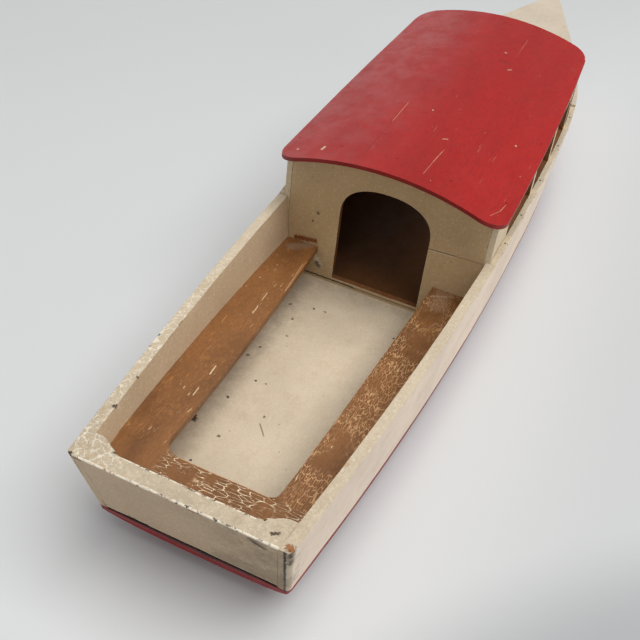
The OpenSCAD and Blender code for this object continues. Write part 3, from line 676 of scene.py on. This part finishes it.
# Each row: the record's slot, the paint of the edges, the board's paint, and then pairs of another paint
# and the test that picks its faces. Where two tests pick a face, the later one wins.
LOOKS = {
    "bottom_block": ("red_paint", RED_EDGE_WEAR_AND_HIGHLIGHT, RED_BOTTOM),
    "port_plank": (*CREAM_COAT, CREAM_RIM, *PLANK_FACES),
    "starboard_plank": (*CREAM_COAT, CREAM_RIM, *PLANK_FACES),
    "transom": (*CREAM_COAT, CREAM_RIM, (CREAM_STERN_SHADED, faces_aft)),
    "nose_block": (*CREAM_COAT, CREAM_PLAIN),
    "port_corner_block": (*CREAM_COAT, CREAM_RIM),
    "starboard_corner_block": (*CREAM_COAT, CREAM_RIM),
    "foredeck": (*CREAM_COAT, CREAM_DECK),
    "cockpit_floor": (*CREAM_COAT, CREAM_FLOOR),
    "cabin_floor": ("cabin_brown", INNER_EDGE, BROWN_INNER),
    "door_bulkhead": (*CREAM_COAT, CREAM_BULKHEAD_SHADED, (BROWN_INNER, faces_fore), (BROWN_SILL, door_jamb)),
    "front_bulkhead": (*CREAM_COAT, CREAM_PLAIN, (BROWN_INNER, faces_aft)),
    "port_cabin_side": (*CREAM_COAT, CREAM_PLAIN, (BROWN_SILL, not_outward)),
    "starboard_cabin_side": (*CREAM_COAT, CREAM_PLAIN, (BROWN_SILL, not_outward)),
    "port_cabin_strip": (*CREAM_COAT, CREAM_RIM),
    "starboard_cabin_strip": (*CREAM_COAT, CREAM_RIM),
    "roof": ("red_paint", RED_EDGE_WEAR_AND_HIGHLIGHT, RED_ROOF, (BROWN_INNER, faces_down), (RED_SIDE_SHADED, faces_level)),
    "port_bench": (*BROWN_COAT, BROWN_PORT),
    "starboard_bench": (*BROWN_COAT, BROWN_STARBOARD_SHADED),
    "aft_bench": (*BROWN_COAT, BROWN_AFT),
    "port_bench_ledger": (*BROWN_COAT, BROWN_LEDGER),
    "starboard_bench_ledger": (*BROWN_COAT, BROWN_LEDGER),
    "aft_bench_ledger": (*BROWN_COAT, BROWN_LEDGER),
}
PINS = {
    "transom_pins": CREAM_RIM,
    "strip_pins": STEEL,
    "roof_pins": RED_ROOF,
    "deck_pins": CREAM_DECK,
    "floor_pins": STEEL,
    "bench_pins": BROWN_LEDGER,
}
# boards whose joints one coat of paint runs over
COATS = (
    ("transom", "port_plank", "starboard_plank", "port_corner_block", "starboard_corner_block"),
    ("port_bench", "starboard_bench", "aft_bench"),
)
ROUNDED = ("port_plank", "starboard_plank", "bottom_block")  # rounded at the stern's corners
# the most that a board's edges are rounded off, mm
BEVEL = {name: 0.8 for name in LOOKS}
BEVEL.update(roof=0.6, port_plank=1.5, starboard_plank=1.5, transom=1.5, cockpit_floor=0.2)

# ---- copies of the boards with hand-worn edges ----

MERGE = 0.01 * MM  # points closer than this are one
FLAT = math.radians(0.6)  # faces that turn by less than this are one
SHARP = math.radians(32)  # an edge that turns by more than this is an arris
FACET = 1 * MM  # edges shorter than this are facets round a pin's hole
FLUSH_GAP = 0.45 * MM  # boards closer than this meet in a joint that is painted over
CORNER = 2.2 * MM  # radius of the stern's corners
PIECE = 4 * MM  # long edges are cut into pieces about this long, each worn by its own amount
RIM_LOW = 70 * MM  # the rim's edges in the cockpit lie above this


def sharp(edge):
    """True on an arris of the board, but not round a pin's hole, whose facets are small."""
    return crease(edge) and edge.calc_length() > FACET


def crease(edge):
    """True where two faces meet at an angle that is sharp enough for an arris."""
    return len(edge.link_faces) == 2 and edge.calc_face_angle(0) > SHARP


def tree_of(name):
    """A search tree of a CAD node's surface."""
    mesh = nodes[name].data
    return BVHTree.FromPolygons([v.co for v in mesh.vertices], [p.vertices for p in mesh.polygons])


def neighbours(name):
    """The boards under the same coat of paint, to find the joints that it runs over."""
    return [tree_of(other) for coat in COATS if name in coat for other in coat if other != name]


def midpoint(edge):
    return (edge.verts[0].co + edge.verts[1].co) / 2


def cut_long_edges(bm):
    """Cuts each long sharp edge into equal pieces."""
    for edge in [e for e in bm.edges if sharp(e) and e.calc_length() > 2 * PIECE]:
        vert = edge.verts[0]
        for k in range(int(edge.calc_length() / PIECE), 1, -1):
            far = edge.other_vert(vert)
            _, vert = bmesh.utils.edge_split(edge, vert, 1 / k)
            edge = next(e for e in vert.link_edges if e.other_vert(vert) == far)


def stern_corner(edge):
    """True on an upright edge where an outer face of a side board or the bottom meets its aft end."""
    mid = midpoint(edge)
    sides = [f.normal for f in edge.link_faces]
    upright = all(abs(n.z) < 0.5 for n in sides)
    aft = any(n.x < -0.5 for n in sides)
    outer = any(n.y * mid.y > 0.5 * abs(mid.y) for n in sides)
    return upright and aft and outer


def edge_wear(name, edge, mid, trees):
    """How wide the edge is rounded off, as a share of the bevel: most on the cockpit's inner rim."""
    if any(tree.find_nearest(mid, FLUSH_GAP)[0] is not None for tree in trees):
        return 0.0
    long_wave = noise.noise(mid / (9 * MM))
    short_wave = noise.noise(mid / (3 * MM))
    share = 0.62 + 0.45 * long_wave + 0.35 * short_wave
    if name.endswith("plank"):
        inner = any(f.normal.y * mid.y < -0.5 * abs(mid.y) for f in edge.link_faces)
        if inner and mid.x < door_x and mid.z > RIM_LOW:
            share *= 1.7
    return min(1, max(0.25, share))


def worn_copy(name, slot, edge_paint, paint, *others):
    """A copy of a CAD node with softened, unevenly worn edges, which stands for it."""
    mesh = nodes[name].data.copy()
    mesh.name = name + "_worn"
    bm = bmesh.new()
    bm.from_mesh(mesh)
    bmesh.ops.remove_doubles(bm, verts=bm.verts, dist=MERGE)
    bmesh.ops.dissolve_limit(bm, angle_limit=FLAT, verts=bm.verts, edges=bm.edges)
    bm.normal_update()
    for face in bm.faces:
        face.smooth = True
        face.material_index = 0
        for i, (_, picks) in enumerate(others):
            if picks(face.calc_center_median(), face.normal):
                face.material_index = 2 + i
    if name in ROUNDED:
        corners = [e for e in bm.edges if crease(e) and stern_corner(e)]
        bmesh.ops.bevel(bm, geom=corners, offset=CORNER, segments=5, profile=0.5, affect="EDGES")
    cut_long_edges(bm)
    bm.normal_update()
    trees = neighbours(name)
    weight = bm.edges.layers.float.new("bevel_weight_edge")
    for edge in bm.edges:
        if sharp(edge):
            edge[weight] = edge_wear(name, edge, midpoint(edge), trees)
        edge.smooth = edge[weight] > 0 or not crease(edge)
    mesh.materials.clear()
    for m in (paint, edge_paint, *(look for look, _ in others)):
        mesh.materials.append(m)
    bm.to_mesh(mesh)
    bm.free()
    piece = bpy.data.objects.new(name + "_worn", mesh)
    bpy.context.collection.objects.link(piece)
    soft = piece.modifiers.new("soft_edges", "BEVEL")
    soft.width, soft.segments, soft.limit_method = BEVEL[name] * MM, 3, "WEIGHT"
    soft.material = 1
    piece.modifiers.new("smooth", "WEIGHTED_NORMAL").keep_sharp = True
    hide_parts(name)
    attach(piece, "root")


for node_name, look in LOOKS.items():
    worn_copy(node_name, *look)
for node_name, paint in PINS.items():
    for material_slot in nodes[node_name].material_slots:
        material_slot.link = "OBJECT"
        material_slot.material = paint

# ---- floor, light and camera ----


PAPER_HALF = 4.0  # half of the paper's side, in metres
PAPER_GAP = 0.2 * MM  # how far the paper lies below the boat
SHADE_CENTRE = (-600, -550, 0)  # middle of a patch of painted shade on the paper, in mm
SHADE_INNER, SHADE_OUTER = 498, 560  # the painted shade fades out between these radii, in mm


def stage_floor():
    """A sheet of pale paper with painted shade: a little darker ahead, to starboard and in a patch past the
    stern.
    """
    bm = bmesh.new()
    bmesh.ops.create_grid(bm, x_segments=1, y_segments=1, size=PAPER_HALF)
    mesh = bpy.data.meshes.new("studio_floor")
    bm.to_mesh(mesh)
    bm.free()
    floor = bpy.data.objects.new("studio_floor", mesh)
    bpy.context.collection.objects.link(floor)
    floor.location.z = ground_z - PAPER_GAP
    g = Graph("studio_paper")
    paper = g.mix(g.noise(400, 2), (0.59, 0.598, 0.6), (0.61, 0.618, 0.62))
    along = g.math("ADD", g.x, g.y)
    away = g.vector("DISTANCE", g.point, SHADE_CENTRE)
    # painted shade: a soft darker patch past the stern
    paper = g.mix(g.step(away, SHADE_OUTER, SHADE_INNER), paper, (0.42, 0.427, 0.434))
    # painted shade: darker ahead, where x + y grows from 150 to 700 mm
    paper = g.mix(g.step(along, 150, 700), paper, (0.56, 0.567, 0.567))
    # painted shade: darker to starboard
    paper = g.mix(g.step(g.y, -60, -190), paper, g.mix(0.86, (0, 0, 0), paper))
    mesh.materials.append(g.finish(paper, 0.62, g.noise(3, 3), 0.05, 0.1))


def area_light(name, place, target, size, power, colour=(1, 1, 1)):
    """A square lamp of `size` metres and `power` watts, turned to its target."""
    data = bpy.data.lights.new(name, "AREA")
    data.shape, data.size, data.energy, data.color = "SQUARE", size, power, colour
    lamp = bpy.data.objects.new(name, data)
    lamp.location = place
    lamp.rotation_euler = (Vector(target) - Vector(place)).to_track_quat("-Z", "Y").to_euler()
    bpy.context.collection.objects.link(lamp)


def studio():
    """Soft daylight: a pale sky, a large lamp above to starboard and three weaker ones around the boat."""
    world = bpy.data.worlds.new("studio")
    bpy.context.scene.world = world
    world.use_nodes = True
    sky = world.node_tree.nodes["Background"].inputs
    sky["Color"].default_value = (0.96, 0.98, 1, 1)
    sky["Strength"].default_value = 0.38
    area_light("key", (-0.15, -0.8, 2.4), (0, 0, 0.05), 2.3, 64, (1, 0.995, 0.985))
    area_light("starboard_card", (0.15, -2.2, 0.5), (0.1, 0, 0.05), 1.0, 10)
    area_light("aft_card", (-2.0, 0.2, 0.9), (-0.3, 0, 0.03), 1.2, 3.5)
    area_light("port_card", (2.0, 1.6, 1.0), (0, 0, 0.1), 1.8, 6)
    bpy.context.scene.view_settings.view_transform = "Standard"


EYE = (-0.5381, -0.1333, 0.3823)  # the camera's place, solved from the boat's lines in the photo


def camera():
    """The camera stands aft of the boat, above it and a little to starboard, tilted sideways."""
    heading, down, roll = math.radians(20.61), math.radians(39.845), math.radians(-7.013)
    look = Vector((math.cos(down) * math.cos(heading), math.cos(down) * math.sin(heading), -math.sin(down)))
    right = look.cross(Vector((0, 0, 1))).normalized()
    up = right.cross(look)
    turned_right = right * math.cos(roll) - up * math.sin(roll)
    turned_up = right * math.sin(roll) + up * math.cos(roll)
    data = bpy.data.cameras.new("camera")
    data.sensor_width, data.lens = 36, 51.46
    cam = bpy.data.objects.new("camera", data)
    bpy.context.collection.objects.link(cam)
    rows = [(*axes, place) for *axes, place in zip(turned_right, turned_up, -look, EYE)]
    cam.matrix_world = Matrix((*rows, (0, 0, 0, 1)))
    bpy.context.scene.camera = cam


stage_floor()
studio()
camera()
